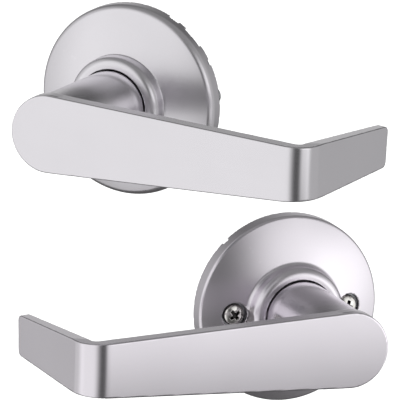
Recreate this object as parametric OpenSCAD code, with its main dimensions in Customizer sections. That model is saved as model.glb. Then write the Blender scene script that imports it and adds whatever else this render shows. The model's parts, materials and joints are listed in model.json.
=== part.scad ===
// Passage lever lockset: the outside half and the inside half, laid out side by side.
// Each half is a round rose, a flat lever with a return leg, and a sprung cassette
// that sits in the bore of the door.
//
// Millimetres, +Z up.  The origin is the centre of the outside rose's mounting face,
// on its spindle axis.  The outside half faces -Y and its lever runs along +X.
//
// Each sub-part is drawn once in the frame of its own half:
//   x along the lever, y up, z out of the door, z = 0 on the face of the door.

/* [Rose] */
// Outside diameter of each rose
rose_d = 69.5; // [66:0.5:76]
// Height of each rose at its rim
rose_rim_h = 5.95; // [5.5:0.05:6.5]
// Rounding of the front edge of the outside rose
outside_edge_r = 1.8; // [1.4:0.1:2.5]
// Rounding of the front edge of the inside rose
inside_edge_r = 0.8; // [0.6:0.1:2.5]
// Radius of the shallow dome on the front of each rose
rose_dome_r = 91; // [80:1:110]
// Diameter of the collar round the lever neck
collar_d = 35.6; // [34:0.2:37]
// Height of the collar above the door
collar_top = 17.6; // [16.5:0.1:19]
// Rounding over the top of the collar
collar_round_r = 3; // [2:0.1:3.2]

/* [Lever] */
// Front of the lever above the door
lever_projection = 65.5; // [56:0.5:70]
// Spindle axis to the outer face of the return leg, at its tip
lever_reach = 107.5; // [95:0.5:120]
// Radius of the round end of the lever
round_end_r = 14.1; // [13.4:0.1:15]
// Half the height of the lever where the bend begins
bend_half_h = 10.1; // [8:0.1:12]
// Half the height of the tip of the return leg
tip_half_h = 7.4; // [5:0.1:8.5]
// Thickness of the lever along its front
blade_t = 6.1; // [5:0.1:7]
// Thickness of the return leg at its tip
tip_t = 4.3; // [3:0.1:5]
// Outer radius of the bend
bend_r = 9.5; // [8:0.5:12]
// Inner radius of the bend
bend_inner_r = 1.8; // [1:0.1:3]
// Gap left between the outer edge of the return leg and the door
return_gap = 10.5; // [8:0.5:14]
// Outward lean of the outer face of the return leg, in degrees
leg_lean = 4.4; // [0:0.1:6]
// Outward lean of the inner face of the return leg, in degrees
leg_inner_lean = 5.8; // [3:0.1:6.5]
// Radius of the lever neck
neck_r = 13.3; // [12.8:0.1:13.4]

/* [Fixing] */
// Distance between the two fixing screws
screw_spacing = 44.45; // [42:0.05:46]
// Length of the threaded posts behind the outside rose
post_length = 18; // [15:0.5:22]
// Length of the fixing screws under their heads
screw_length = 29; // [25:0.5:32]
// Diameter of the bore in the door, filled by each cassette
door_bore_d = 54; // [53.8:0.1:55]

/* [Movement] */
// How far each lever turns down, in degrees
lever_turn = 50; // [30:1:52]

/* [Layout] */
// Where the inside half stands beside the outside half
inside_position = [26, 69, -89];
// How far the inside half is turned from the outside half, in degrees
inside_yaw = 51; // [30:1:80]

/* [Output] */
// Which sub-part to draw

/* [Hidden] */
$fn = 96;
through = 1;

// Rose
rose_r = rose_d / 2;
rose_wall = 1.2;
sharpest_edge_r = 0.2;
dome_centre_z = rose_rim_h - sqrt(pow(rose_dome_r, 2) - pow(rose_r, 2));
collar_r = collar_d / 2;
collar_bore_r = 13.7;
soft_fillet_r = 1.3;
rim_notch_depth = 1.3;
outside_rim_notches = [[28, 31.5], [41, 54.5], [60, 67]];
inside_rim_notches = [[46, 50]];
screw_hole_r = 4.8;
screw_hole_rim_t = 0.9;
screw_hole_rim_h = 2;

// Mounting plate and bearing
plate_t = 2;
plate_r = rose_r - rose_wall;
tower_r = 14.2;
tower_top = 11.4;
tube_r = 9.5;
running_gap = 0.05;
bush_r = 11.2;
bush_flange_r = 13.4;
bush_flange_t = 1;
play = 0.3;

// Drive tube and spindle
lever_back = tower_top + bush_flange_t + play;
socket_depth = 20;
tube_front = lever_back + socket_depth;
spindle_w = 8;
spindle_gap = 0.1;
spindle_length = 64;
spindle_front = 18;
spindle_pin_r = 1;
grub_r = 2.5;
grub_l = 4.4;
grub_z = 27;
grub_flat_y = 8.5;
grub_socket_w = 2.5;

// Cassette behind the plate
cassette_r = door_bore_d / 2 - 0.4;
cassette_wall = 1.2;
cassette_depth = 12.5;
cassette_seat = 0.3;
cassette_seat_gap = 0.1;
cassette_floor_z = -cassette_depth + cassette_wall;
washer_t = 0.8;
ring_t = 1;
ring_r = 12;
ring_groove_r = 8.9;
cam_t = 3;
cam_front_z = -6;
cam_back_z = cam_front_z - cam_t;
tube_back = -11;

// Cam with a curved flank that lifts the follower by base_r for each radian of turn
base_r = 4.5;
cam_hub_r = 10.8;
contact_y = 11;
contact_roll = contact_y / base_r;
flank_start = -12;
flank_step = 4;
stop_radius = 13.5;
stop_pin_r = 1.6;
stop_lug_w = 5;
stop_lug_r = 16;
stop_gap = 0.2;
stop_half_angle = asin((stop_lug_w / 2 + stop_pin_r + stop_gap) / stop_radius);

// Follower, guides and springs
follower_half_w = 14.2;
follower_h = 3.2;
follower_t = 3.6;
follower_z = (cam_front_z + cam_back_z) / 2;
guide_w = 2;
guide_top = 19.5;
guide_bottom = 8.5;
spring_x = 8;
spring_coil_r = 2.3;
spring_wire_r = 0.35;
spring_turns = 5;
spring_seat_y = 22.5;
seat_w = 6.4;
spring_bottom_y = contact_y + play + follower_h;
spring_length = spring_seat_y - spring_bottom_y;
peg_r = 1.4;
peg_h = 1.6;

// Fasteners
post_r = 3.2;
post_head_r = 4.4;
post_head_t = 1;
post_bore_r = 1.75;
boss_r = 5;
boss_top = 7;
screw_r = 2;
screw_clear_r = 2.3;
screw_head_r = 4;
screw_head_h = 2.7;
screw_crown_r = 6.9;
recess_w = 1.05;
recess_l = 4.8;
recess_depth = 1.5;
rivet_r = 1.2;
rivet_head_r = 2.1;
rivet_head_t = 0.6;
rivet_pillar_r = 2.3;
rivet_sites = [[19.4, 12.4], [-19.4, 12.4], [15, -17], [-15, -17]];

steel = [0.72, 0.73, 0.75];
satin_chrome = [0.78, 0.78, 0.8];
zinc = [0.62, 0.64, 0.68];
spring_steel = [0.35, 0.36, 0.38];
nylon = [0.12, 0.12, 0.13];
brass_colour = [0.78, 0.66, 0.38];

// ---- Placing each half ----

module outside() {
    rotate([90, 0, 0]) children();
}

module inside() {
    translate(inside_position)
        rotate([0, 0, inside_yaw])
            rotate([90, 0, 0])
                mirror([1, 0, 0])
                    children();
}

module at_screws() {
    for (side = [-1, 1])
        translate([side * screw_spacing / 2, 0, 0]) children();
}

// A ring or a disc from z0 to z1
module ring(r_out, r_in, z0, z1) {
    translate([0, 0, z0])
        difference() {
            cylinder(r = r_out, h = z1 - z0);
            if (r_in > 0)
                translate([0, 0, -through]) cylinder(r = r_in, h = z1 - z0 + 2 * through);
        }
}

// ---- Rose ----

// Half section of the rose filled to its axis, with the skin taken in by `inset`
module rose_section(edge_r, inset) {
    r = max(edge_r - inset, sharpest_edge_r);
    out = rose_r - inset;
    dome_r = rose_dome_r - inset;
    centre = [out - r, dome_centre_z + sqrt(pow(dome_r - r, 2) - pow(out - r, 2))];
    blend_angle = atan2(centre[1] - dome_centre_z, centre[0]);
    square([out, centre[1]]);
    translate(centre) circle(r = r);
    intersection() {
        translate([0, dome_centre_z]) circle(r = dome_r);
        polygon([
            [0, 0],
            [centre[0], 0],
            centre,
            centre + r * [cos(blend_angle), sin(blend_angle)],
            [0, rose_dome_r]
        ]);
    }
    square([collar_r - inset, collar_top - collar_round_r]);
    translate([collar_r - collar_round_r, collar_top - collar_round_r])
        circle(r = collar_round_r - inset);
    square([collar_r - collar_round_r, collar_top - inset]);
}

// Concave blend between the dome and the collar
module soft_blend() {
    corner_z = dome_centre_z + sqrt(pow(rose_dome_r, 2) - pow(collar_r + soft_fillet_r, 2));
    difference() {
        translate([collar_r - rose_wall / 2, corner_z - rose_wall / 2])
            square([soft_fillet_r + rose_wall / 2, soft_fillet_r + rose_wall / 2]);
        translate([collar_r + soft_fillet_r, corner_z + soft_fillet_r]) circle(r = soft_fillet_r);
    }
}

module rose_shell(edge_r, soft) {
    rotate_extrude()
        difference() {
            union() {
                rose_section(edge_r, 0);
                if (soft) soft_blend();
            }
            translate([0, -through]) square([collar_bore_r, collar_top + 2 * through]);
            difference() {
                rose_section(edge_r, rose_wall);
                translate([0, collar_top - rose_wall]) square([collar_r, through]);
            }
            translate([0, -through]) square([rose_r - rose_wall, 2 * through]);
        }
}

// A shallow cut in the rear rim between two angles
module rim_notch(from, to) {
    middle = (from + to) / 2;
    width = 2 * rose_r * sin((to - from) / 2);
    rotate([0, 0, middle])
        translate([rose_r - 2 * rose_wall, -width / 2, -through])
            cube([4 * rose_wall, width, rim_notch_depth + through]);
}

module rose(edge_r, soft, notches, holes) {
    difference() {
        union() {
            rose_shell(edge_r, soft);
            if (holes) screw_hole_rims(edge_r);
        }
        for (notch = notches) rim_notch(notch[0], notch[1]);
        if (holes)
            at_screws() cylinder(r = screw_hole_r, h = collar_top);
    }
}

// The drawn-in rim of each screw hole
module screw_hole_rims(edge_r) {
    hole_top = dome_centre_z + sqrt(pow(rose_dome_r, 2) - pow(screw_spacing / 2, 2));
    rim_back = hole_top - rose_wall / 2 - screw_hole_rim_h;
    intersection() {
        at_screws() ring(screw_hole_r + screw_hole_rim_t, 0, rim_back, collar_top);
        rotate_extrude() rose_section(edge_r, rose_wall / 2);
    }
}

module outside_rose() {
    color(satin_chrome) outside() rose(outside_edge_r, false, outside_rim_notches, false);
}

module inside_rose() {
    color(satin_chrome) inside() rose(inside_edge_r, true, inside_rim_notches, true);
}

// ---- Lever ----

tip_slant = 1.2;
tip_shear = 0.07;
tip_corner_r = 2;
bend_z = lever_projection - bend_r;
bend_outer_x = lever_reach - (bend_z - return_gap) * tan(leg_lean);
bend_x = bend_outer_x - bend_r;
taper_angle = asin((round_end_r - bend_half_h) / bend_x);
leg_taper = (bend_half_h - tip_half_h) / (lever_projection - blade_t - return_gap);

// Outline seen from above of a solid corner that fills everything under the lever:
// x along the lever, y out of the door
module corner_outline(front, r, tip, lean) {
    centre_y = front - r;
    centre_x = tip[0] - (centre_y - tip[1]) * tan(lean) - r;
    translate([-2 * round_end_r, 0]) square([centre_x + 2 * round_end_r, front]);
    translate([centre_x, centre_y]) circle(r = r);
    polygon([[centre_x, 0], [tip[0], 0], tip, [centre_x + r, centre_y], [centre_x, centre_y]]);
}

module lever_plan() {
    outer_tip = [lever_reach, return_gap];
    inner_tip = outer_tip - [tip_t, tip_slant];
    left = 2 * inner_tip - outer_tip;
    right = 2 * outer_tip - inner_tip;
    difference() {
        corner_outline(lever_projection, bend_r, outer_tip, leg_lean);
        corner_outline(lever_projection - blade_t, bend_inner_r, inner_tip, leg_inner_lean);
        polygon([left, right, [right[0], -through], [left[0], -through]]);
    }
}

// Outline of the lever seen from the front: a round end and a taper
module lever_front() {
    touch_x = round_end_r * sin(taper_angle);
    touch_y = round_end_r * cos(taper_angle);
    end_x = bend_x + 2 * bend_r;
    end_y = bend_half_h - 2 * bend_r * tan(taper_angle);
    circle(r = round_end_r);
    polygon([[touch_x, -touch_y], [end_x, -end_y], [end_x, end_y], [touch_x, touch_y]]);
}

// Centre of a rounded corner at the tip: side 1 is the upper corner, -1 the lower
function tip_corner(side) =
    let (
        tip = return_gap - tip_slant,
        reach = tip_half_h + leg_taper * (tip - return_gap) - tip_corner_r * norm([1, leg_taper]),
        x = (tip + tip_corner_r * norm([1, tip_shear]) - side * tip_shear * (reach - leg_taper * tip))
            / (1 + side * tip_shear * leg_taper)
    )
    [x, side * (reach + leg_taper * (x - tip))];

// Outline of the return leg seen from its outer side: x out of the door, y up
module leg_side() {
    shoulder = lever_projection - blade_t;
    front = lever_projection + through;
    edge_normal = [-leg_taper, 1] / norm([1, leg_taper]);
    end_normal = [-1, -tip_shear] / norm([1, tip_shear]);
    upper = tip_corner(1);
    lower = tip_corner(-1);
    polygon([
        lower + tip_corner_r * end_normal,
        lower + tip_corner_r * [edge_normal[0], -edge_normal[1]],
        [shoulder, -bend_half_h],
        [front, -bend_half_h],
        [front, bend_half_h],
        [shoulder, bend_half_h],
        upper + tip_corner_r * edge_normal,
        upper + tip_corner_r * end_normal
    ]);
    for (corner = [upper, lower])
        translate(corner) circle(r = tip_corner_r);
}

module lever_blade() {
    intersection() {
        translate([0, 2 * round_end_r, 0])
            rotate([90, 0, 0])
                linear_extrude(height = 4 * round_end_r) lever_plan();
        linear_extrude(height = lever_projection + through) lever_front();
        union() {
            translate([-2 * round_end_r, -2 * round_end_r, 0])
                cube([bend_x + 2 * round_end_r, 4 * round_end_r, lever_projection + through]);
            translate([bend_x, 0, 0])
                rotate([0, -90, 0])
                    mirror([0, 0, 1])
                        linear_extrude(height = 3 * bend_r) leg_side();
        }
    }
}

module lever() {
    difference() {
        union() {
            lever_blade();
            ring(neck_r, 0, lever_back, lever_projection - blade_t / 2);
        }
        translate([0, 0, lever_back - through])
            cylinder(r = tube_r + running_gap, h = socket_depth + play + through);
        translate([0, 0, grub_z])
            rotate([90, 0, 0])
                cylinder(r = grub_r, h = neck_r + through);
    }
}

module outside_lever() {
    color(satin_chrome) outside() lever();
}

module inside_lever() {
    color(satin_chrome) inside() lever();
}

// ---- Grub screw that holds the lever on its tube ----

module set_screw() {
    translate([0, -grub_flat_y, grub_z])
        rotate([90, 0, 0])
            difference() {
                cylinder(r = grub_r, h = grub_l);
                translate([0, 0, grub_l / 2])
                    cylinder(r = grub_socket_w / sqrt(3), h = grub_l, $fn = 6);
            }
}

module outside_set_screw() {
    color(spring_steel) outside() set_screw();
}

module inside_set_screw() {
    color(spring_steel) inside() set_screw();
}

// ---- Mounting plate with its bearing tower ----

module mounting_plate(with_bosses) {
    difference() {
        union() {
            ring(plate_r, 0, 0, plate_t);
            ring(tower_r, 0, plate_t, tower_top);
            if (with_bosses)
                at_screws() ring(boss_r, 0, plate_t, boss_top);
        }
        ring(bush_r, 0, -through, tower_top + through);
        ring(cassette_r + cassette_seat_gap, 0, -through, cassette_seat);
        at_screws() ring(with_bosses ? screw_clear_r : post_r, 0, -through, boss_top + through);
        at_rivets() ring(rivet_r, 0, -through, plate_t + through);
    }
}

module outside_mounting_plate() {
    color(zinc) outside() mounting_plate(false);
}

module inside_mounting_plate() {
    color(zinc) inside() mounting_plate(true);
}

// ---- Nylon bush the tube turns in ----

module bearing_bush() {
    difference() {
        union() {
            ring(bush_r, 0, 0, tower_top + bush_flange_t);
            ring(bush_flange_r, 0, tower_top, tower_top + bush_flange_t);
        }
        ring(tube_r + running_gap, 0, -through, tower_top + bush_flange_t + through);
    }
}

module outside_bearing_bush() {
    color(nylon) outside() bearing_bush();
}

module inside_bearing_bush() {
    color(nylon) inside() bearing_bush();
}

// ---- Tube that carries the turn from the lever to the spindle ----

ring_front_z = -washer_t - play - 0.1;
pin_z = (ring_front_z - ring_t + cam_front_z) / 2;

module square_bore(w, z0, z1) {
    translate([-w / 2, -w / 2, z0]) cube([w, w, z1 - z0]);
}

module drive_tube(with_pin) {
    difference() {
        ring(tube_r, 0, tube_back, tube_front);
        square_bore(spindle_w + 2 * spindle_gap, tube_back - through, tube_front + through);
        ring(tube_r + through, ring_groove_r, ring_front_z - ring_t, ring_front_z);
        translate([-tube_r, -tube_r - through, grub_z - 2 * grub_r])
            cube([2 * tube_r, tube_r + through - grub_flat_y, 4 * grub_r]);
        if (with_pin) pin_shape(through);
    }
}

module pin_shape(extra) {
    translate([-tube_r - extra, 0, pin_z])
        rotate([0, 90, 0])
            cylinder(r = spindle_pin_r, h = 2 * (tube_r + extra));
}

module outside_drive_tube() {
    color(steel) outside() drive_tube(true);
}

module inside_drive_tube() {
    color(steel) inside() drive_tube(false);
}

// ---- Washer and ring that hold the tube in its bearing ----

module thrust_washer() {
    ring(bush_flange_r, tube_r + 0.1, -washer_t - 0.05, -0.05);
}

module outside_thrust_washer() {
    color(steel) outside() thrust_washer();
}

module inside_thrust_washer() {
    color(steel) inside() thrust_washer();
}

// A snap ring with its opening at the top
module retaining_ring() {
    difference() {
        ring(ring_r, ring_groove_r, ring_front_z - ring_t, ring_front_z);
        translate([-ring_groove_r / 2, 0, ring_front_z - ring_t - through])
            cube([ring_groove_r, 2 * ring_r, ring_t + 2 * through]);
    }
}

module outside_retaining_ring() {
    color(spring_steel) outside() retaining_ring();
}

module inside_retaining_ring() {
    color(spring_steel) inside() retaining_ring();
}

// ---- Cam on the tube ----

function turned(point, angle) = [
    point[0] * cos(angle) - point[1] * sin(angle),
    point[0] * sin(angle) + point[1] * cos(angle)
];

// Flank point that meets the follower once the cam has turned by `angle`
function flank_point(angle) =
    turned([-base_r, base_r * (contact_roll + angle * PI / 180)], angle);

module cam_outline() {
    flank_end = lever_turn + 4;
    steps = round((flank_end - flank_start) / flank_step);
    circle(r = cam_hub_r);
    polygon(concat(
        [[0, 0]],
        [for (i = [0 : steps]) flank_point(flank_start + i * (flank_end - flank_start) / steps)],
        [turned([0, cam_hub_r], 110)]
    ));
    translate([-stop_lug_w / 2, -stop_lug_r]) square([stop_lug_w, stop_lug_r]);
}

module cam() {
    translate([0, 0, cam_back_z])
        linear_extrude(height = cam_t)
            difference() {
                cam_outline();
                circle(r = tube_r);
            }
}

module outside_cam() {
    color(brass_colour) outside() cam();
}

module inside_cam() {
    color(brass_colour) inside() cam();
}

// ---- Sliding follower that the cam lifts against the springs ----

module at_springs() {
    for (side = [-1, 1])
        translate([side * spring_x, 0, follower_z]) children();
}

module follower() {
    bottom = contact_y + play;
    translate([-follower_half_w, bottom, follower_z - follower_t / 2])
        cube([2 * follower_half_w, follower_h, follower_t]);
    at_springs()
        translate([0, bottom + follower_h / 2, 0])
            rotate([-90, 0, 0])
                cylinder(r = peg_r, h = follower_h / 2 + peg_h);
}

module outside_follower() {
    color(zinc) outside() follower();
}

module inside_follower() {
    color(zinc) inside() follower();
}

// ---- Return springs ----

coil_steps = 14;
wire_sides = 8;

// One ring of wire section points at step i of the coil
function coil_ring(i) =
    let (
        angle = 360 * i / coil_steps,
        rise = spring_wire_r
            + (spring_length - 2 * spring_wire_r) * i / (coil_steps * spring_turns)
    )
    [for (k = [0 : wire_sides - 1])
        let (r = spring_coil_r + spring_wire_r * cos(360 * k / wire_sides))
        [r * cos(angle), rise + spring_wire_r * sin(360 * k / wire_sides), r * sin(angle)]
    ];

module coil_spring() {
    rings = coil_steps * spring_turns;
    points = [for (i = [0 : rings]) each coil_ring(i)];
    sides = [
        for (i = [0 : rings - 1])
            for (k = [0 : wire_sides - 1])
                let (a = i * wire_sides + k, b = i * wire_sides + (k + 1) % wire_sides)
                [a, a + wire_sides, b + wire_sides, b]
    ];
    first_end = [for (k = [0 : wire_sides - 1]) k];
    last_end = [for (k = [wire_sides - 1 : -1 : 0]) rings * wire_sides + k];
    polyhedron(points = points, faces = concat(sides, [first_end], [last_end]));
}

module return_springs() {
    at_springs() translate([0, spring_bottom_y, 0]) coil_spring();
}

module outside_return_springs() {
    color(spring_steel) outside() return_springs();
}

module inside_return_springs() {
    color(spring_steel) inside() return_springs();
}

// ---- Cassette: the cup in the bore of the door ----

module at_rivets() {
    for (site = rivet_sites)
        translate([site[0], site[1], 0]) children();
}

module follower_guides() {
    for (side = [-1, 1])
        translate([side * (follower_half_w + play / 2 + guide_w / 2), guide_bottom, cassette_floor_z])
            translate([-guide_w / 2, 0, 0])
                cube([guide_w, guide_top - guide_bottom, -cassette_floor_z - 3]);
}

module spring_seats() {
    for (side = [-1, 1])
        translate([side * spring_x - seat_w / 2, spring_seat_y, cassette_floor_z])
            cube([seat_w, cassette_r, -cassette_floor_z - 3]);
}

module stop_pins() {
    for (angle = [-90 + stop_half_angle, -90 - lever_turn - stop_half_angle])
        rotate([0, 0, angle])
            translate([stop_radius, 0, 0])
                ring(stop_pin_r, 0, cassette_floor_z, cam_front_z + 1);
}

module cassette(hole_r) {
    difference() {
        union() {
            difference() {
                union() {
                    ring(cassette_r, 0, -cassette_depth, 0);
                    ring(cassette_r - cassette_wall / 2, 0, -cassette_depth, cassette_seat);
                }
                ring(cassette_r - cassette_wall, 0, cassette_floor_z, through);
            }
            intersection() {
                ring(cassette_r - cassette_wall / 2, 0, -cassette_depth, cassette_seat);
                union() {
                    follower_guides();
                    spring_seats();
                    at_rivets() ring(rivet_pillar_r, 0, -cassette_depth, cassette_seat);
                }
            }
            stop_pins();
        }
        ring(tube_r + play, 0, -cassette_depth - through, 0);
        at_screws() ring(hole_r, 0, -cassette_depth - through, cassette_floor_z + through);
        at_rivets() ring(rivet_r, 0, -cassette_depth - through, through);
    }
}

module outside_cassette() {
    color(zinc) outside() cassette(post_r + play);
}

module inside_cassette() {
    color(zinc) inside() cassette(screw_clear_r);
}

// ---- Rivets that hold the cassette to the plate ----

module cassette_rivets() {
    at_rivets() {
        ring(rivet_r, 0, -cassette_depth, plate_t);
        ring(rivet_head_r, 0, -cassette_depth - rivet_head_t, -cassette_depth);
        ring(rivet_head_r, 0, plate_t, plate_t + rivet_head_t);
    }
}

module outside_cassette_rivets() {
    color(steel) outside() cassette_rivets();
}

module inside_cassette_rivets() {
    color(steel) inside() cassette_rivets();
}

// ---- Posts, spindle and screws that join the halves through the door ----

module threaded_posts() {
    color(zinc) outside()
        at_screws()
            difference() {
                union() {
                    ring(post_r, 0, -post_length, plate_t);
                    ring(post_head_r, 0, plate_t, plate_t + post_head_t);
                }
                ring(post_bore_r, 0, -post_length - through, 0);
            }
}

module spindle() {
    color(steel) outside()
        difference() {
            square_bore(spindle_w, spindle_front - spindle_length, spindle_front);
            pin_shape(through);
        }
}

module spindle_pin() {
    color(spring_steel) outside() pin_shape(0);
}

module domed_head() {
    rotate_extrude()
        intersection() {
            square([screw_head_r, screw_head_h]);
            translate([0, screw_head_h - screw_crown_r]) circle(r = screw_crown_r);
        }
}

// Cross recess in a screw head
module cross_recess() {
    for (turn = [0, 90])
        rotate([0, 0, turn])
            translate([-recess_l / 2, -recess_w / 2, screw_head_h - recess_depth])
                cube([recess_l, recess_w, recess_depth + through]);
}

module fixing_screws() {
    color(steel) inside()
        at_screws()
            translate([0, 0, boss_top]) {
                difference() {
                    domed_head();
                    cross_recess();
                }
                ring(screw_r, 0, -screw_length, 0);
            }
}

outside_lever();
outside_rose();
outside_mounting_plate();
outside_bearing_bush();
outside_drive_tube();
outside_set_screw();
outside_thrust_washer();
outside_retaining_ring();
outside_cam();
outside_follower();
outside_return_springs();
outside_cassette();
outside_cassette_rivets();
threaded_posts();
spindle();
spindle_pin();
inside_lever();
inside_rose();
inside_mounting_plate();
inside_bearing_bush();
inside_drive_tube();
inside_set_screw();
inside_thrust_washer();
inside_retaining_ring();
inside_cam();
inside_follower();
inside_return_springs();
inside_cassette();
inside_cassette_rivets();
fixing_screws();
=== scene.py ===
"""Looks of the passage lever lockset: satin chrome levers and roses, nickel screws and the works behind.

Each half is modelled in its own frame, in millimetres, as in the CAD model:
x along the lever, y up, z out of the door, with z = 0 on the face of the door.
"""

import json
import math
from itertools import product

import bpy
import numpy as np
from mathutils import Matrix, Vector

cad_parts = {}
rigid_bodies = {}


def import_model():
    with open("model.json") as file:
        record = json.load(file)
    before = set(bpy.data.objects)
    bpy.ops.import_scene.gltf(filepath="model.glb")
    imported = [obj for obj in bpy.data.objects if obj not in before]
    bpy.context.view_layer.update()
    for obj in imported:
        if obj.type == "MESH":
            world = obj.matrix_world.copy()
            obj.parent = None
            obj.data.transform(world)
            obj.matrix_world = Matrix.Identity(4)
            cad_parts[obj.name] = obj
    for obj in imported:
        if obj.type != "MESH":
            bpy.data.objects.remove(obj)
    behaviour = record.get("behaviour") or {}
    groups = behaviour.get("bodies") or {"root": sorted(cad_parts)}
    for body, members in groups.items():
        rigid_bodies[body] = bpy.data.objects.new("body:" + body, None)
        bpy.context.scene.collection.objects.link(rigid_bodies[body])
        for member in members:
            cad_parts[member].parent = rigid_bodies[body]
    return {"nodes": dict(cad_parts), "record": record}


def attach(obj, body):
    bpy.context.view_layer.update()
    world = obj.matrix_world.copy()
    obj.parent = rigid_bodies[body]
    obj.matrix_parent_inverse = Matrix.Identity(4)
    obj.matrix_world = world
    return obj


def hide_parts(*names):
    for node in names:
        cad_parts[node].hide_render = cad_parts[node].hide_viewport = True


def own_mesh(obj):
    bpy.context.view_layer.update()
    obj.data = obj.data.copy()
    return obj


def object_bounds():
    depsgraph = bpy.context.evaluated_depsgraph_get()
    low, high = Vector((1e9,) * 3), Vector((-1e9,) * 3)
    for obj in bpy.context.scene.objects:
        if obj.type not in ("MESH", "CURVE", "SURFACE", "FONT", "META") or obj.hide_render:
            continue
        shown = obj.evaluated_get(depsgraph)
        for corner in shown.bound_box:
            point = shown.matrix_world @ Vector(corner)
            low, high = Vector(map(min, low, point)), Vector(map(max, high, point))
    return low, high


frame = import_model()
cad_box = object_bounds()

MM = 0.001

# ---- Sizes, the same as the CAD model's ----

ROSE_R = 34.75
ROSE_WALL = 1.2
ROSE_RIM_H = 5.95
OUTSIDE_EDGE_R = 1.8
INSIDE_EDGE_R = 0.8
ROSE_DOME_R = 91.0
COLLAR_R = 17.8
COLLAR_TOP = 17.6
COLLAR_ROUND_R = 3.0
COLLAR_BORE_R = 13.7
SOFT_FILLET_R = 1.3
SHARPEST_EDGE_R = 0.2
SCREW_X = 44.45 / 2
SCREW_HOLE_R = 4.8
HOLE_RIM_T = 0.9
NOTCH_DEPTH = 1.3
OUTSIDE_NOTCHES = [(28, 31.5), (41, 54.5), (60, 67)]
INSIDE_NOTCHES = [(46, 50)]

LEVER_FRONT = 65.5
LEVER_REACH = 107.5
ROUND_END_R = 14.1
BEND_HALF_H = 10.1
TIP_HALF_H = 7.4
BLADE_T = 6.1
TIP_T = 4.3
BEND_R = 9.5
BEND_INNER_R = 1.8
RETURN_GAP = 10.5
TIP_SLANT = 1.2
TIP_SHEAR = 0.07
TIP_CORNER_R = 2.0
LEG_LEAN = math.radians(4.4)
LEG_INNER_LEAN = math.radians(5.8)
NECK_R = 13.3
NECK_BACK = 12.7
TUBE_FRONT = 32.7
GRUB_Z = 27.0

SCREW_HEAD_Z = 7.0
SCREW_HEAD_R = 4.0
SCREW_HEAD_H = 2.7
SCREW_CROWN_R = 6.9
SCREW_R = 2.0
SCREW_LENGTH = 29.0

SPRING_X = 8.0
SPRING_Z = -7.5
SPRING_BOTTOM = 14.5
SPRING_SEAT = 22.5
SPRING_COIL_R = 2.3
SPRING_WIRE_R = 0.35
SPRING_TURNS = 5

INSIDE_PLACE = (26, 69, -89)
INSIDE_YAW = math.radians(51)

# ---- Details that the CAD model leaves out or draws a little differently ----

# The lever's front falls away towards its edges, by 0.4 mm at most
CROWN_R = 250.0
LEVER_EDGE_R = 0.5
NECK_FILLET_R = 1.4
TUBE_BORE_R = 9.6
SOCKET_EDGE_R = 0.4
GRUB_HOLE_R = 2.6
GRUB_EDGE_R = 0.3

CRISP_FILLET_R = 0.25
NOTCH_REACH = 3
HOLE_RIM_Z = 8.4
HOLE_RIM_HALF_H = 0.9

SCREW_EDGE_R = 0.7
SCREW_UNDER_EDGE_R = 0.15
RECESS_DEPTH = 1.7
RECESS_HALF_L = 1.35
RECESS_HALF_W = 0.5
RECESS_FLARE_L = 0.6
RECESS_FLARE_W = 0.08
RECESS_FILLET_R = 0.35
RECESS_EDGE_R = 0.12
THREAD_PITCH = 0.8
THREAD_DEPTH = 0.35
SHANK_EDGE_R = 0.4
SHANK_OVERLAP = 0.5

# ---- Sizes of the grid cells that the surfaces are made on ----

SHELL_STEP = 0.45
SCREW_STEP = 0.16


# ---- Turning a distance field into a mesh ----

def gradient(field, points, reach=0.02):
    """Slope of the field at each point."""
    slopes = []
    for axis in range(3):
        shift = np.zeros(3)
        shift[axis] = reach
        slopes.append((field(*(points + shift).T) - field(*(points - shift).T)) / (2 * reach))
    return np.stack(slopes, axis=1)


def field_mesh(field, low, high, step):
    """Points, quads and outward normals of the surface where field(x, y, z) is zero.

    Each grid cell that the surface crosses gets one point. It moves onto the surface in a few steps,
    without straying far from its cell.
    """
    counts = [int(math.ceil((b - a) / step)) + 1 for a, b in zip(low, high)]
    axes = [a + step * np.arange(n) for a, n in zip(low, counts)]
    solid = field(*np.meshgrid(*axes, indexing="ij")) < 0
    corners = [
        solid[tuple(slice(c, n - 1 + c) for c, n in zip(corner, counts))]
        for corner in product((0, 1), repeat=3)
    ]
    crossed = np.any(corners, axis=0) & ~np.all(corners, axis=0)
    number = np.full(crossed.shape, -1)
    number[crossed] = np.arange(crossed.sum())
    points = np.array(low) + step * (np.argwhere(crossed) + 0.5)
    start = points.copy()
    moves, flattest, leash = 5, 0.05, 0.8 * step
    for _ in range(moves):
        slope = gradient(field, points)
        size = np.maximum((slope ** 2).sum(axis=1), flattest)
        points = points - slope * (field(*points.T) / size)[:, None]
        points = start + np.clip(points - start, -leash, leash)
    quads = []
    for axis in range(3):
        u, v = (axis + 1) % 3, (axis + 2) % 3
        here = np.take(solid, range(counts[axis] - 1), axis)
        there = np.take(solid, range(1, counts[axis]), axis)
        for leaving in (True, False):
            edges = np.argwhere((here & ~there) if leaving else (~here & there))
            ring = []
            for du, dv in ((1, 1), (0, 1), (0, 0), (1, 0)):
                cell = edges.copy()
                cell[:, u] -= du
                cell[:, v] -= dv
                ring.append(number[tuple(cell.T)])
            quads.append(np.stack(ring if leaving else ring[::-1], axis=1))
    slope = gradient(field, points)
    normals = slope / np.maximum(np.linalg.norm(slope, axis=1), 1e-9)[:, None]
    return points, np.concatenate(quads), normals


def half_matrix(half):
    """From the frame of a half to the row's frame, in millimetres."""
    stand = Matrix.Rotation(math.radians(90), 4, "X")
    if half == "outside":
        return stand
    mirror = Matrix.Scale(-1, 4, (1, 0, 0))
    return Matrix.Translation(INSIDE_PLACE) @ Matrix.Rotation(INSIDE_YAW, 4, "Z") @ stand @ mirror


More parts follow.
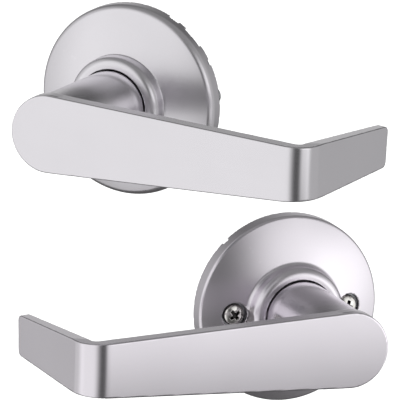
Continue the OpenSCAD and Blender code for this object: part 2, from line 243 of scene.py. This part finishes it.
def add_piece(name, surface, half, body, node, material):
    """A piece made from field_mesh's result, placed in its half and standing for a CAD node."""
    points, quads, normals = surface
    place = np.array(half_matrix(half))
    spots = (points @ place[:3, :3].T + place[:3, 3]) * MM
    facing = normals @ place[:3, :3].T
    if half == "inside":
        quads = quads[:, ::-1]
    mesh = bpy.data.meshes.new(name)
    mesh.from_pydata(spots.tolist(), [], quads.tolist())
    mesh.validate()
    mesh.polygons.foreach_set("use_smooth", [True] * len(mesh.polygons))
    mesh.normals_split_custom_set_from_vertices(facing.tolist())
    piece = bpy.data.objects.new(name, mesh)
    bpy.context.scene.collection.objects.link(piece)
    mesh.materials.append(material)
    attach(piece, body)
    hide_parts(node)
    return piece


# ---- Joining distance fields ----

def both(a, b, r):
    """Overlap of two solids with its edges rounded to radius r."""
    return np.minimum(np.maximum(a, b), -r) + np.hypot(np.maximum(a + r, 0), np.maximum(b + r, 0))


def either(a, b, r):
    """Union of two solids with a fillet of radius r between them."""
    return -both(-a, -b, r)


# ---- Lever ----

def lever_corner(x, z, front, r, tip_x, tip_z, lean):
    """Distance to a solid corner, rounded to r, under z = front and behind a leaning face at its tip."""
    leg = (x - tip_x) * math.cos(lean) + (z - tip_z) * math.sin(lean)
    return both(z - front, leg, r)


def lever_outline(x, y, z):
    """Distance to the outline seen from the front and, down the leg, from its side."""
    bend_z = LEVER_FRONT - BEND_R
    bend_x = LEVER_REACH - (bend_z - RETURN_GAP) * math.tan(LEG_LEAN) - BEND_R
    taper = math.asin((ROUND_END_R - BEND_HALF_H) / bend_x)
    up = np.abs(y)
    straight = x * math.sin(taper) + up * math.cos(taper) - ROUND_END_R
    beyond = x * math.cos(taper) - up * math.sin(taper) > 0
    front = np.where(beyond, straight, np.hypot(x, y) - ROUND_END_R)
    shoulder = LEVER_FRONT - BLADE_T
    leg_run = shoulder - RETURN_GAP
    narrowing = (BEND_HALF_H - TIP_HALF_H) / leg_run
    side = up - BEND_HALF_H + narrowing * np.maximum(shoulder - z, 0)
    outer = np.clip(x - LEVER_REACH + TIP_T, 0, TIP_T) / TIP_T
    tip = RETURN_GAP - TIP_SLANT * (1 - outer) - TIP_SHEAR * y - z
    leg = both(side, tip, TIP_CORNER_R)
    return np.where(x > bend_x, np.maximum(front, leg), front)


def lever_field(x, y, z):
    """Distance to the lever: a blade bent back into a leg, on a neck with a socket for the drive tube."""
    crowned = LEVER_FRONT - y ** 2 / (2 * CROWN_R)
    outer = lever_corner(x, z, crowned, BEND_R, LEVER_REACH, RETURN_GAP, LEG_LEAN)
    inner = lever_corner(
        x, z, LEVER_FRONT - BLADE_T, BEND_INNER_R,
        LEVER_REACH - TIP_T, RETURN_GAP - TIP_SLANT, LEG_INNER_LEAN,
    )
    plan = np.maximum(outer, -inner)
    blade = both(plan, lever_outline(x, y, z), LEVER_EDGE_R)
    across = np.hypot(x, y)
    neck = both(across - NECK_R, NECK_BACK - z, LEVER_EDGE_R)
    neck = np.maximum(neck, z - LEVER_FRONT + BLADE_T / 2)
    solid = either(blade, neck, NECK_FILLET_R)
    socket = np.maximum(across - TUBE_BORE_R, z - TUBE_FRONT)
    grub_hole = np.maximum(np.hypot(x, z - GRUB_Z) - GRUB_HOLE_R, y)
    solid = both(solid, -socket, SOCKET_EDGE_R)
    return both(solid, -grub_hole, GRUB_EDGE_R)


# ---- Rose ----

def rose_body(rho, z, edge_r, soft, inset):
    """Distance to the rose filled to its axis, with the skin taken in by inset."""
    dome_z = ROSE_RIM_H - math.sqrt(ROSE_DOME_R ** 2 - ROSE_R ** 2)
    dome = np.hypot(rho, z - dome_z) - ROSE_DOME_R + inset
    disc = both(dome, rho - ROSE_R + inset, max(edge_r - inset, SHARPEST_EDGE_R))
    collar = both(rho - COLLAR_R + inset, z - COLLAR_TOP + inset, COLLAR_ROUND_R - inset)
    return either(disc, collar, SOFT_FILLET_R if soft else CRISP_FILLET_R)


def rose_field(edge_r, soft, notches, holes):
    """Distance to a rose: a pressed shell with notches in its back rim and, if asked, two screw holes."""
    def field(x, y, z):
        rho = np.hypot(x, y)
        angle = np.degrees(np.arctan2(y, x))
        skin = rose_body(rho, z, edge_r, soft, 0)
        shell = np.maximum(skin, -rose_body(rho, z, edge_r, soft, ROSE_WALL))
        if holes:
            aside = np.hypot(np.abs(x) - SCREW_X, y)
            rim_wall = np.abs(aside - SCREW_HOLE_R - HOLE_RIM_T / 2) - HOLE_RIM_T / 2
            rim = np.maximum(rim_wall, np.abs(z - HOLE_RIM_Z) - HOLE_RIM_HALF_H)
            shell = np.maximum(np.minimum(shell, rim), skin)
            shell = both(shell, SCREW_HOLE_R - aside, SHARPEST_EDGE_R)
        shell = both(shell, COLLAR_BORE_R - rho, SHARPEST_EDGE_R)
        shell = both(shell, -z, CRISP_FILLET_R)
        for start, end in notches:
            off = np.abs(angle - (start + end) / 2) - (end - start) / 2
            notch = np.maximum(np.radians(off) * rho, z - NOTCH_DEPTH)
            shell = both(shell, -np.maximum(notch, ROSE_R - NOTCH_REACH - rho), SHARPEST_EDGE_R)
        return shell
    return field


# ---- Fixing screw ----

def screw_field(x, y, z):
    """One pan-head screw with a cross recess that narrows downwards, with z = 0 under its head."""
    across = np.hypot(x, y)
    crown = np.hypot(across, z - SCREW_HEAD_H + SCREW_CROWN_R) - SCREW_CROWN_R
    head = both(both(across - SCREW_HEAD_R, crown, SCREW_EDGE_R), -z, SCREW_UNDER_EDGE_R)
    deep = SCREW_HEAD_H - RECESS_DEPTH
    sink = np.maximum(z - deep, 0)
    arms = []
    for a, b in ((np.abs(x), np.abs(y)), (np.abs(y), np.abs(x))):
        end = a - RECESS_HALF_L - RECESS_FLARE_L * sink
        side = b - RECESS_HALF_W - RECESS_FLARE_W * sink
        arms.append(np.maximum(end, side))
    cross = np.maximum(either(arms[0], arms[1], RECESS_FILLET_R), deep - z)
    head = both(head, -cross, RECESS_EDGE_R)
    wind = z / THREAD_PITCH - np.arctan2(y, x) / (2 * math.pi)
    ridge = np.abs(wind - np.floor(wind) - 0.5) * 2
    shank = both(across - SCREW_R + THREAD_DEPTH * ridge, -SCREW_LENGTH - z, SHANK_EDGE_R)
    return np.minimum(head, np.maximum(shank, z - SHANK_OVERLAP))


# ---- Material building blocks ----

def add_node(tree, kind, inputs, **settings):
    """Adds a node to a tree, with its settings and with values or links in its sockets."""
    node = tree.nodes.new(kind)
    for key, value in settings.items():
        setattr(node, key, value)
    for socket, value in dict(inputs).items():
        if isinstance(value, bpy.types.NodeSocket):
            tree.links.new(value, node.inputs[socket])
        else:
            node.inputs[socket].default_value = value
    return node


class Shader:
    """One node material with a Principled shader."""

    def __init__(self, name, metallic, colour, roughness):
        self.material = bpy.data.materials.new(name)
        self.material.use_nodes = True
        self.tree = self.material.node_tree
        self.surface = self.tree.nodes["Principled BSDF"]
        self.surface.inputs["Metallic"].default_value = metallic
        self.surface.inputs["Base Color"].default_value = (*colour, 1)
        self.surface.inputs["Roughness"].default_value = roughness
        self.colour = colour
        self.roughness = roughness

    def add(self, kind, inputs=(), **settings):
        """Adds a node to this material."""
        return add_node(self.tree, kind, inputs, **settings)

    def place(self, half):
        """Coordinates in metres with x along the lever of that half, y into the door and z up."""
        spot = self.add("ShaderNodeTexCoord").outputs["Object"]
        if half == "outside":
            return spot
        move = self.add("ShaderNodeMapping", {"Vector": spot}, vector_type="TEXTURE")
        move.inputs["Location"].default_value = [v * MM for v in INSIDE_PLACE]
        move.inputs["Rotation"].default_value = (0, 0, INSIDE_YAW)
        return move.outputs["Vector"]

    def stretched(self, spot, scale):
        """Coordinates scaled by axis: a scale below 1 draws a pattern out along that axis."""
        return self.add(
            "ShaderNodeMapping", {"Vector": spot, "Scale": scale}, vector_type="POINT"
        ).outputs["Vector"]

    def polar(self, spot):
        """Radius, arc and depth round the spindle axis, with the arc measured 20 mm out from it."""
        parts = self.add("ShaderNodeSeparateXYZ", {"Vector": spot}).outputs
        flat = self.add("ShaderNodeCombineXYZ", {"X": parts["X"], "Y": parts["Z"]}).outputs["Vector"]
        radius = self.add("ShaderNodeVectorMath", {0: flat}, operation="LENGTH").outputs["Value"]
        angle = self.add("ShaderNodeMath", {0: parts["Z"], 1: parts["X"]}, operation="ARCTAN2")
        arc = self.add("ShaderNodeMath", {0: angle.outputs[0], 1: 20 * MM}, operation="MULTIPLY")
        return self.add(
            "ShaderNodeCombineXYZ", {"X": radius, "Y": arc.outputs[0], "Z": parts["Y"]}
        ).outputs["Vector"]

    def noise(self, spot, scale, detail):
        """Cloudy noise, with scale in cells to the metre."""
        return self.add(
            "ShaderNodeTexNoise", {"Vector": spot, "Scale": scale, "Detail": detail}
        ).outputs["Fac"]

    def between(self, fac, low, high):
        """Turns noise, which mostly runs from 0.3 to 0.7, into values from low to high."""
        return self.add(
            "ShaderNodeMapRange",
            {"Value": fac, "From Min": 0.3, "From Max": 0.7, "To Min": low, "To Max": high},
        ).outputs["Result"]

    def edges(self, low, high):
        """0 on flats and 1 on convex edges."""
        sharp = self.add("ShaderNodeNewGeometry").outputs["Pointiness"]
        return self.add(
            "ShaderNodeMapRange", {"Value": sharp, "From Min": low, "From Max": high}
        ).outputs["Result"]

    def finish(
        self, grain, cloud, grain_tone, cloud_tone, rough_swing, bump, wear, worn_tone, shade=None,
    ):
        """Wires grain and cloud into colour, roughness and bump.

        Worn edges come out paler and smoother, and spots given painted shade darker.
        """
        tone = self.add("ShaderNodeMath", {
            0: self.between(grain, 1 - grain_tone, 1 + grain_tone),
            1: self.between(cloud, 1 - cloud_tone, 1 + cloud_tone),
        }, operation="MULTIPLY").outputs[0]
        rough = self.add("ShaderNodeMath", {
            0: self.between(grain, self.roughness - rough_swing, self.roughness + rough_swing),
            1: self.between(cloud, -rough_swing / 2, rough_swing / 2),
        }, operation="ADD").outputs[0]
        worn = self.add("ShaderNodeMapRange", {"Value": wear, "To Min": 1.0, "To Max": worn_tone})
        tone = self.add(
            "ShaderNodeMath", {0: tone, 1: worn.outputs["Result"]}, operation="MULTIPLY"
        ).outputs[0]
        smooth = self.add("ShaderNodeMapRange", {"Value": wear, "To Min": 0.0, "To Max": -rough_swing})
        rough = self.add(
            "ShaderNodeMath", {0: rough, 1: smooth.outputs["Result"]}, operation="ADD"
        ).outputs[0]
        if shade is not None:
            tone = self.add("ShaderNodeMath", {0: tone, 1: shade}, operation="MULTIPLY").outputs[0]
        tint = self.add("ShaderNodeVectorMath", {0: self.colour, "Scale": tone}, operation="SCALE")
        self.tree.links.new(tint.outputs["Vector"], self.surface.inputs["Base Color"])
        self.tree.links.new(rough, self.surface.inputs["Roughness"])
        relief = self.add("ShaderNodeBump", {"Height": grain, "Strength": bump, "Distance": 0.0001})
        self.tree.links.new(relief.outputs["Normal"], self.surface.inputs["Normal"])
        return self.material


# ---- Materials ----

# The inside half's chrome is a little more violet than the outside half's
CHROME = {"outside": (0.83, 0.81, 0.845), "inside": (0.845, 0.81, 0.86)}


def satin_lever(half):
    """Satin chrome brushed along the lever and round its bend."""
    look = Shader(f"satin_lever_{half}", metallic=1.0, colour=CHROME[half], roughness=0.20)
    spot = look.place(half)
    streaks = look.noise(look.stretched(spot, (0.02, 0.02, 1.0)), 1500, 4)
    cloud = look.noise(spot, 45, 2)
    wear = look.edges(0.52, 0.6)
    return look.finish(
        streaks, cloud, grain_tone=0.006, cloud_tone=0.012, rough_swing=0.012, bump=0.004,
        wear=wear, worn_tone=1.03,
    )


def satin_rose(half):
    """Satin chrome brushed in circles round the rose."""
    look = Shader(f"satin_rose_{half}", metallic=1.0, colour=CHROME[half], roughness=0.30)
    rings = look.polar(look.place(half))
    streaks = look.noise(rings, 1600, 4)
    cloud = look.noise(rings, 60, 2)
    wear = look.edges(0.52, 0.6)
    return look.finish(
        streaks, cloud, grain_tone=0.007, cloud_tone=0.014, rough_swing=0.012, bump=0.004,
        wear=wear, worn_tone=1.03,
    )


def speckled(name, metallic, colour, roughness, scale, tone, bump):
    """A plain machined, cast or moulded surface with fine all-round grain and worn edges."""
    look = Shader(name, metallic, colour, roughness)
    spot = look.add("ShaderNodeTexCoord").outputs["Object"]
    wear = look.edges(0.51, 0.58)
    return look.finish(
        look.noise(spot, scale, 5), look.noise(spot, scale / 15, 2),
        grain_tone=tone, cloud_tone=tone, rough_swing=0.06, bump=bump, wear=wear, worn_tone=1.15,
    )


def nickel_screw():
    """Bright nickel with painted shade in the recess: darker below the sphere that the head's crown
    belongs to.
    """
    look = Shader("nickel_screw", metallic=1.0, colour=(0.88, 0.86, 0.83), roughness=0.16)
    spot = look.place("inside")
    parts = look.add("ShaderNodeSeparateXYZ", {"Vector": spot}).outputs
    side = look.add("ShaderNodeMath", {0: parts["X"]}, operation="ABSOLUTE")
    aside = look.add("ShaderNodeMath", {0: side.outputs[0], 1: SCREW_X * MM}, operation="SUBTRACT")
    crown_z = SCREW_HEAD_Z + SCREW_HEAD_H - SCREW_CROWN_R
    depth = look.add("ShaderNodeMath", {0: parts["Y"], 1: crown_z * MM}, operation="ADD")
    from_centre = look.add(
        "ShaderNodeCombineXYZ", {"X": aside.outputs[0], "Y": depth.outputs[0], "Z": parts["Z"]}
    )
    reach = look.add("ShaderNodeVectorMath", {0: from_centre.outputs["Vector"]}, operation="LENGTH")
    # Painted shade: the recess below the crown's sphere is darkened, down to 0.08 of the nickel's colour
    darkest = (SCREW_CROWN_R - 0.8) * MM
    clear = (SCREW_CROWN_R - 0.15) * MM
    shade = look.add("ShaderNodeMapRange", {
        "Value": reach.outputs["Value"],
        "From Min": darkest, "From Max": clear, "To Min": 0.08, "To Max": 1.0,
    })
    return look.finish(
        look.noise(spot, 1400, 5), look.noise(spot, 95, 2),
        grain_tone=0.04, cloud_tone=0.04, rough_swing=0.05, bump=0.04,
        wear=look.edges(0.51, 0.58), worn_tone=1.1, shade=shade.outputs["Result"],
    )


def turned(name, colour, roughness, half):
    """Lathe-turned metal, with rings round the spindle axis."""
    look = Shader(name, metallic=1.0, colour=colour, roughness=roughness)
    rings = look.stretched(look.polar(look.place(half)), (0.3, 1, 1))
    return look.finish(
        look.noise(rings, 2200, 3), look.noise(rings, 90, 2),
        grain_tone=0.06, cloud_tone=0.04, rough_swing=0.05, bump=0.12,
        wear=look.edges(0.51, 0.58), worn_tone=1.1,
    )


# Metallic, colour, roughness, and the scale, tone and bump of the grain
SPECKLED = {
    "zinc_casting": (0.9, (0.50, 0.51, 0.53), 0.48, 900, 0.08, 0.25),
    "plated_steel": (1.0, (0.66, 0.67, 0.69), 0.30, 1600, 0.05, 0.08),
    "black_steel": (0.6, (0.07, 0.07, 0.075), 0.42, 1400, 0.10, 0.1),
    "spring_wire": (1.0, (0.42, 0.43, 0.45), 0.30, 2500, 0.08, 0.1),
    "cam_brass": (0.95, (0.66, 0.52, 0.28), 0.40, 2600, 0.14, 0.3),
    "black_nylon": (0.0, (0.028, 0.028, 0.03), 0.45, 1800, 0.10, 0.1),
}

MATERIALS = {name: speckled(name, *numbers) for name, numbers in SPECKLED.items()}
MATERIALS["nickel_screw"] = nickel_screw()
for half in ("outside", "inside"):
    MATERIALS[f"satin_lever_{half}"] = satin_lever(half)
    MATERIALS[f"satin_rose_{half}"] = satin_rose(half)
    MATERIALS[f"turned_steel_{half}"] = turned(f"turned_steel_{half}", (0.56, 0.57, 0.59), 0.32, half)


def half_of(name):
    """The half of the set that a CAD node or a visible piece belongs to."""
    return "inside" if name.startswith(("inside", "fixing_screw")) else "outside"


def material_for(node, slot):
    """The material of a slot, which for chrome and turned steel depends on the half."""
    return MATERIALS.get(slot) or MATERIALS[f"{slot}_{half_of(node)}"]


for part in frame["record"]["subparts"]:
    shown = frame["nodes"][part["node"]]
    shown.data.materials.clear()
    shown.data.materials.append(material_for(part["node"], part["material_slot"]))


# ---- Visible pieces ----

# Opposite corners of the boxes that hold a lever and a rose, with a little room to spare
LEVER_LOW = (-15, -15, 8)
LEVER_HIGH = (109, 15, 67)
ROSE_LOW = (-36, -36, -1)
ROSE_HIGH = (36, 36, 19)

lever_surface = field_mesh(lever_field, LEVER_LOW, LEVER_HIGH, SHELL_STEP)
for half in ("outside", "inside"):
    add_piece(
        f"{half}_lever_shell", lever_surface, half, f"{half}_turning",
        f"{half}_lever", MATERIALS[f"satin_lever_{half}"],
    )

for half, edge_r, notches in (
    ("outside", OUTSIDE_EDGE_R, OUTSIDE_NOTCHES),
    ("inside", INSIDE_EDGE_R, INSIDE_NOTCHES),
):
    within = half == "inside"
    surface = field_mesh(rose_field(edge_r, within, notches, within), ROSE_LOW, ROSE_HIGH, SHELL_STEP)
    add_piece(
        f"{half}_rose_shell", surface, half, "fixed_halves",
        f"{half}_rose", MATERIALS[f"satin_rose_{half}"],
    )


def both_screws():
    """The two screws as one surface, the second turned a little further than the first."""
    room = 0.6
    reach = SCREW_HEAD_R + room
    low = (-reach, -reach, -SCREW_LENGTH - 1)
    high = (reach, reach, SCREW_HEAD_H + room)
    one = field_mesh(screw_field, low, high, SCREW_STEP)
    made = []
    for side, turn in ((-1, math.radians(20)), (1, math.radians(52))):
        spin = np.array(Matrix.Rotation(turn, 3, "Z"))
        made.append((one[0] @ spin.T + (side * SCREW_X, 0, SCREW_HEAD_Z), one[1], one[2] @ spin.T))
    quads = np.concatenate((made[0][1], made[1][1] + len(one[0])))
    return np.concatenate([m[0] for m in made]), quads, np.concatenate([m[2] for m in made])


add_piece(
    "fixing_screw_pair", both_screws(), "inside", "fixed_halves",
    "fixing_screws", MATERIALS["nickel_screw"],
)


def coil_spring():
    """One compression spring standing on y = 0: round wire with its end turns wound close."""
    sides, steps = 10, 28
    length = SPRING_SEAT - SPRING_BOTTOM
    # Height of the wire after its first turn, just clear of its own start
    closed = 3.1 * SPRING_WIRE_R
    turn = np.arange(SPRING_TURNS * steps + 1)[:, None] / steps
    rise = np.interp(
        turn, (0, 1, SPRING_TURNS - 1, SPRING_TURNS),
        (SPRING_WIRE_R, closed, length - closed, length - SPRING_WIRE_R),
    )
    around = 2 * math.pi * turn
    across = 2 * math.pi * np.arange(sides) / sides
    out, up = np.cos(across), np.sin(across)
    normals = np.stack(np.broadcast_arrays(out * np.cos(around), up, out * np.sin(around)), axis=-1)
    centres = np.stack((SPRING_COIL_R * np.cos(around), rise, SPRING_COIL_R * np.sin(around)), axis=-1)
    points = centres + SPRING_WIRE_R * normals
    rings = len(turn)
    here = np.arange(rings * sides).reshape(rings, sides)
    beside = np.roll(here, -1, axis=1)
    walls = np.stack((here[:-1], beside[:-1], beside[1:], here[1:]), axis=-1).reshape(-1, 4)
    fan = np.array([(0, k, k + 1, k + 2) for k in range(1, sides - 1, 2)])
    caps = np.concatenate((here[0][fan[:, ::-1]], here[-1][fan]))
    return points.reshape(-1, 3), np.concatenate((walls, caps)), normals.reshape(-1, 3)


def both_springs():
    """The two springs of one half, between the follower and the seats in the cassette."""
    points, quads, normals = coil_spring()
    placed = [points + (side * SPRING_X, SPRING_BOTTOM, SPRING_Z) for side in (-1, 1)]
    return np.concatenate(placed), np.concatenate((quads, quads + len(points))), np.tile(normals, (2, 1))


for half in ("outside", "inside"):
    springs = add_piece(
        f"{half}_coil_springs", both_springs(), half, "fixed_halves",
        f"{half}_return_springs", MATERIALS["spring_wire"],
    )
    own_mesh(springs)


# ---- Camera ----

VIEW_AZIMUTH = math.radians(27.9)
VIEW_ELEVATION = math.radians(15)
VIEW_ROLL = math.radians(1.75)
# The distance is in metres, and the lens and the sensor in millimetres
VIEW_DISTANCE = 4.3
LENS = 1080
SENSOR_W = 36
AIM_RIGHT = 24.5 * MM
AIM_UP = -36.3 * MM


def add_camera():
    """A long lens in front, to the right and a little above, aimed between the two halves."""
    towards = Vector((
        math.sin(VIEW_AZIMUTH) * math.cos(VIEW_ELEVATION),
        -math.cos(VIEW_AZIMUTH) * math.cos(VIEW_ELEVATION),
        math.sin(VIEW_ELEVATION),
    ))
    right = Vector((math.cos(VIEW_AZIMUTH), math.sin(VIEW_AZIMUTH), 0))
    up = towards.cross(right)
    data = bpy.data.cameras.new("camera")
    data.lens = LENS
    data.sensor_width = SENSOR_W
    data.clip_end = 50
    camera = bpy.data.objects.new("camera", data)
    bpy.context.scene.collection.objects.link(camera)
    tilted_right = right * math.cos(VIEW_ROLL) + up * math.sin(VIEW_ROLL)
    tilted_up = up * math.cos(VIEW_ROLL) - right * math.sin(VIEW_ROLL)
    facing = Matrix((tilted_right, tilted_up, towards)).transposed()
    spot = AIM_RIGHT * right + AIM_UP * up + VIEW_DISTANCE * towards
    camera.matrix_world = Matrix.Translation(spot) @ facing.to_4x4()
    bpy.context.scene.camera = camera


add_camera()


# ---- Floor ----

# In metres
FLOOR_HALF_W = 30
FLOOR_DROP = 0.25

FLOOR_GLOW = 0.95


def add_floor():
    """A plain white floor, well below the lockset."""
    mesh = bpy.data.meshes.new("floor")
    signs = ((-1, -1), (1, -1), (1, 1), (-1, 1))
    corners = [(side * FLOOR_HALF_W, end * FLOOR_HALF_W, 0) for side, end in signs]
    mesh.from_pydata(corners, [], [(0, 1, 2, 3)])
    floor = bpy.data.objects.new("floor", mesh)
    floor.location.z = cad_box[0].z - FLOOR_DROP
    bpy.context.scene.collection.objects.link(floor)
    look = Shader("floor_white", metallic=0.0, colour=(0.92, 0.92, 0.92), roughness=0.9)
    look.surface.inputs["Emission Color"].default_value = (1, 1, 1, 1)
    look.surface.inputs["Emission Strength"].default_value = FLOOR_GLOW
    mesh.materials.append(look.material)
    floor.visible_glossy = False
    floor.visible_diffuse = False
    floor.visible_shadow = False


# ---- The studio: soft panels of light round the lockset ----

AMBIENT = 0.09

# Angles in degrees. The camera stands at the soft right edge of the front panel, beside a dark gap.
PANELS = {
    "front": dict(
        azimuth=-20, half_width=38, side_edge=16,
        elevation=0, half_height=55, top_edge=25, brightness=0.80,
    ),
    "left": dict(
        azimuth=-80, half_width=26, side_edge=20,
        elevation=5, half_height=40, top_edge=20, brightness=0.54,
    ),
    "right": dict(
        azimuth=72, half_width=18, side_edge=9,
        elevation=8, half_height=27, top_edge=15, brightness=0.90,
    ),
    "far_right": dict(
        azimuth=120, half_width=36, side_edge=16,
        elevation=0, half_height=40, top_edge=20, brightness=0.38,
    ),
    "behind": dict(
        azimuth=-152, half_width=25, side_edge=15,
        elevation=5, half_height=15, top_edge=15, brightness=0.48,
    ),
    "ceiling": dict(
        azimuth=0, half_width=180, side_edge=1,
        elevation=75, half_height=30, top_edge=15, brightness=0.16,
    ),
}

# Soft lamps that light the inside half only
INSIDE_LAMPS = {
    "wide": dict(azimuth=110, elevation=-5, half_width=40, brightness=0.42),
    "narrow": dict(azimuth=100, elevation=-5, half_width=20, brightness=0.40),
}


def direction(azimuth, elevation):
    """Unit vector from the lockset to a place in the studio: azimuth 0 is -Y and azimuth 90 is +X."""
    a, e = math.radians(azimuth), math.radians(elevation)
    return Vector((math.sin(a) * math.cos(e), -math.cos(a) * math.cos(e), math.sin(e)))


def node_adder(world):
    """A function that adds a node to the world, fills its sockets in order and returns one output."""
    def add(kind, *inputs, result=0, **settings):
        node = add_node(world.node_tree, f"ShaderNode{kind}", enumerate(inputs), **settings)
        return node.outputs[result]

    return add


def window(add, angle, middle, half, edge):
    """1 near the middle, falling softly to 0 as the angle passes half on either side of it."""
    off = add("Math", angle, math.radians(middle), operation="SUBTRACT")
    away = add("Math", off, operation="ABSOLUTE")
    inner, outer = math.radians(half - edge), math.radians(half + edge)
    return add("MapRange", away, inner, outer, 1.0, 0.0, interpolation_type="SMOOTHSTEP")


def panel_light(
    add, around, azimuth, half_width, side_edge, elevation, half_height, top_edge, brightness,
):
    """Brightness of one soft-edged panel, for each direction round the lockset."""
    def along(way):
        return add("VectorMath", around, way, operation="DOT_PRODUCT", result="Value")

    ahead, aside = along(direction(azimuth, 0)), along(direction(azimuth + 90, 0))
    turn = add("Math", aside, ahead, operation="ARCTAN2")
    rise = add("Math", add("SeparateXYZ", around, result="Z"), operation="ARCSINE")
    across = window(add, turn, 0, half_width, side_edge)
    upright = window(add, rise, elevation, half_height, top_edge)
    shape = add("Math", across, upright, operation="MULTIPLY")
    return add("Math", shape, brightness, operation="MULTIPLY")


def add_world():
    """The panels in a dim room, and plain white behind the floor."""
    world = bpy.data.worlds.new("studio")
    bpy.context.scene.world = world
    world.use_nodes = True
    add = node_adder(world)
    around = add("TexCoord", result="Generated")
    total = AMBIENT
    for panel in PANELS.values():
        total = add("Math", panel_light(add, around, **panel), total, operation="ADD")
    seen = add("LightPath", result="Is Camera Ray")
    strength = add("Math", total, seen, operation="MAXIMUM")
    background = world.node_tree.nodes["Background"]
    background.inputs["Color"].default_value = (1, 1, 1, 1)
    world.node_tree.links.new(strength, background.inputs["Strength"])


def add_lamp(name, lit, azimuth, elevation, half_width, brightness):
    """A lamp far off, with the light of a round panel that fades out at half_width, for lit only."""
    data = bpy.data.lights.new(name, "SUN")
    fall = math.cos(math.radians(half_width))
    data.angle = 2 * math.acos((1 + fall) / 2)
    data.energy = brightness * math.pi * (1 - fall)
    lamp = bpy.data.objects.new(name, data)
    lamp.matrix_world = direction(azimuth, elevation).to_track_quat("Z", "Y").to_matrix().to_4x4()
    lamp.visible_camera = False
    lamp.light_linking.receiver_collection = lit
    bpy.context.scene.collection.objects.link(lamp)


def add_inside_lamps():
    """The photographed inside half stands in brighter light from its right than the outside half."""
    lit = bpy.data.collections.new("lit_inside")
    for shown in bpy.context.scene.objects:
        if shown.type == "MESH" and shown.name != "floor" and half_of(shown.name) == "inside":
            lit.objects.link(shown)
    for name, lamp in INSIDE_LAMPS.items():
        add_lamp(f"inside_{name}_lamp", lit, **lamp)


add_floor()
add_world()
add_inside_lamps()

bpy.context.scene.view_settings.view_transform = "Standard"
